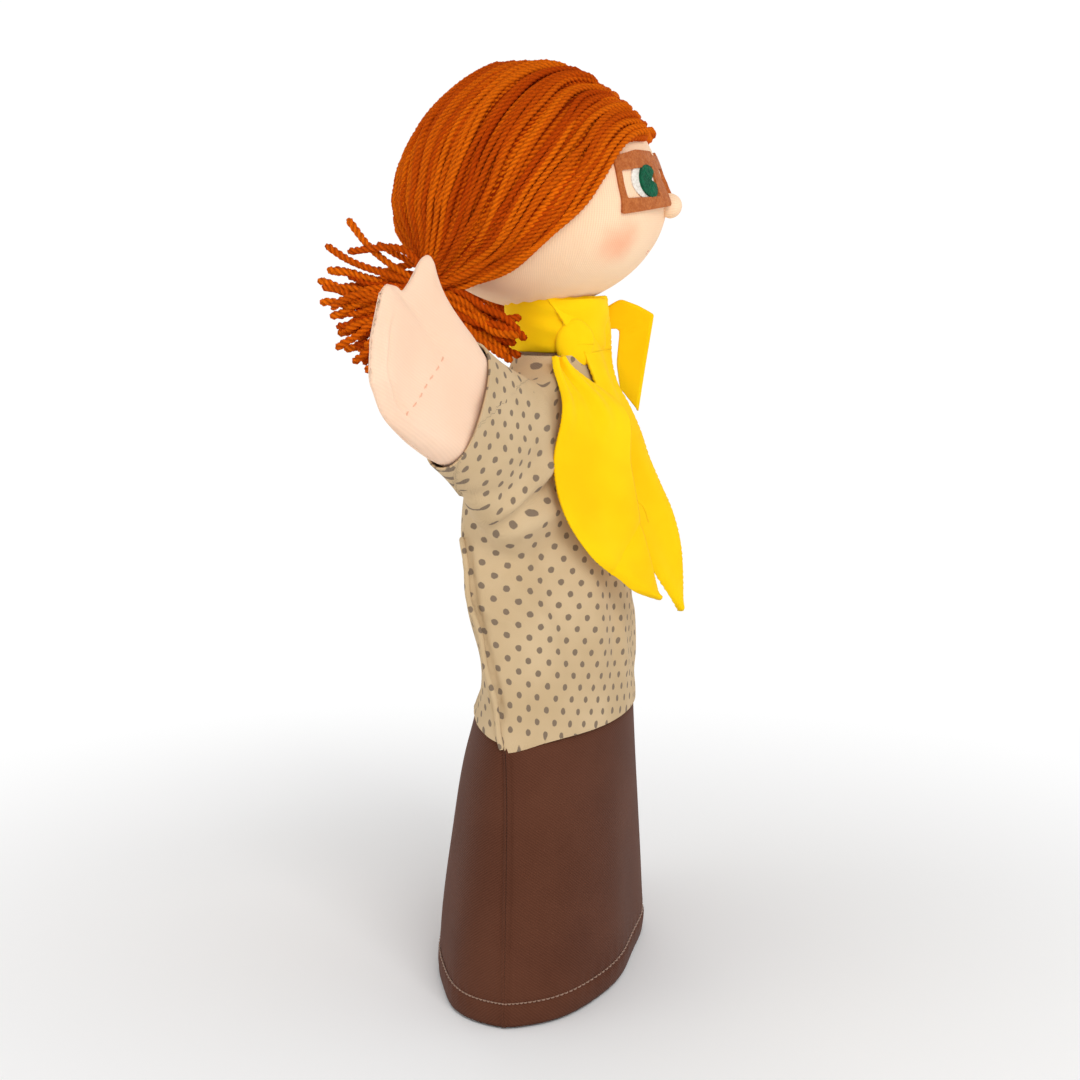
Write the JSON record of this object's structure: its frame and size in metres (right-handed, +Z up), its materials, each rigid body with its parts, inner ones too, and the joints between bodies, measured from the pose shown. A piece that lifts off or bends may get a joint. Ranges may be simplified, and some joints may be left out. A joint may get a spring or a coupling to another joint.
{
  "type": "hand puppet",
  "caption": "Cloth glove puppet with a stuffed head, yarn hair in bunches, spectacles, a dotted shirt, a plain skirt and a knotted neckerchief.",
  "frame": {"origin": "middle of the hem, the opening that the hand goes in through", "axes": "+Z up to the head, -Y the way the puppet faces, -X its right hand"},
  "size_m": [0.2412, 0.1134, 0.2903],
  "materials": {
    "skirt_cotton": "brown twill weave",
    "shirt_cotton": "plain weave printed with small dots",
    "jersey": "fine ribbed knit",
    "yarn": "plied wool yarn",
    "neckerchief_cotton": "smooth cotton with cut edges",
    "felt_brown": "pressed felt",
    "felt_white": "pressed felt",
    "felt_green": "pressed felt",
    "light_thread": "sewing thread",
    "pink_thread": "sewing thread",
    "wadding": "loose wadding",
    "card": "plain wound card"
  },
  "bodies": {
    "body": {"skirt_front_panel": "skirt_cotton", "skirt_back_panel": "skirt_cotton", "hem_stitching": "light_thread", "shirt_front_panel": "shirt_cotton", "shirt_back_panel": "shirt_cotton", "scarf_band": "neckerchief_cotton", "scarf_knot": "neckerchief_cotton", "scarf_loop": "neckerchief_cotton"},
    "neck": {"neck_tube": "card", "neck_skin": "jersey"},
    "head": {"head_skin": "jersey", "head_filling": "wadding", "nose": "jersey", "mouth_stitch": "pink_thread", "spectacles": "felt_brown", "parting_stitch": "yarn", "right_eye_white": "felt_white", "right_iris": "felt_green", "right_hair_cap": "yarn", "left_eye_white": "felt_white", "left_iris": "felt_green", "left_hair_cap": "yarn"},
    "right_arm": {"right_sleeve": "shirt_cotton"},
    "right_hand": {"right_mitt_palm": "jersey", "right_mitt_back": "jersey", "right_mitt_stitching": "light_thread"},
    "right_bunch": {"right_hair_tie": "yarn", "right_pigtail": "yarn"},
    "left_arm": {"left_sleeve": "shirt_cotton"},
    "left_hand": {"left_mitt_palm": "jersey", "left_mitt_back": "jersey", "left_mitt_stitching": "light_thread"},
    "left_bunch": {"left_hair_tie": "yarn", "left_pigtail": "yarn"},
    "side_tail": {"scarf_side_tail": "neckerchief_cotton"},
    "front_tail": {"scarf_front_tail": "neckerchief_cotton"}
  },
  "joints": [
    {"name": "neck_nod", "type": "hinge", "parent": "body", "child": "neck", "pos_m": [0, -0.0067, 0.197], "axis": [1, 0, 0], "range_deg": [-8, 12]},
    {"name": "head_turn", "type": "hinge", "parent": "neck", "child": "head", "pos_m": [0, -0.0067, 0.203], "axis": [0, 0, 1], "range_deg": [-20, 20]},
    {"name": "right_shoulder_raise", "type": "hinge", "parent": "body", "child": "right_arm", "pos_m": [-0.051, 0.0022, 0.1737], "axis": [0, 1, 0], "range_deg": [-25, 15]},
    {"name": "right_wrist_flex", "type": "hinge", "parent": "right_arm", "child": "right_hand", "pos_m": [-0.07378, 0.00957, 0.18723], "axis": [0.4682, -0.1515, 0.8705], "range_deg": [-20, 20]},
    {"name": "right_pigtail_swing", "type": "hinge", "parent": "head", "child": "right_bunch", "pos_m": [-0.028, 0.029, 0.2195], "axis": [0, 1, 0], "range_deg": [0, 15]},
    {"name": "left_shoulder_raise", "type": "hinge", "parent": "body", "child": "left_arm", "pos_m": [0.051, 0.0022, 0.1737], "axis": [0, -1, 0], "range_deg": [-25, 15]},
    {"name": "left_wrist_flex", "type": "hinge", "parent": "left_arm", "child": "left_hand", "pos_m": [0.07378, 0.00957, 0.18723], "axis": [0.4682, 0.1515, -0.8705], "range_deg": [-20, 20]},
    {"name": "left_pigtail_swing", "type": "hinge", "parent": "head", "child": "left_bunch", "pos_m": [0.028, 0.029, 0.2195], "axis": [0, -1, 0], "range_deg": [0, 15]},
    {"name": "side_tail_swing", "type": "hinge", "parent": "body", "child": "side_tail", "pos_m": [-0.0159, -0.0189, 0.1915], "axis": [-0.766, 0.6428, 0], "range_deg": [0, 35]},
    {"name": "front_tail_swing", "type": "hinge", "parent": "body", "child": "front_tail", "pos_m": [0, -0.024, 0.1915], "axis": [-0.9903, 0.1392, 0], "range_deg": [0, 35]}
  ]
}
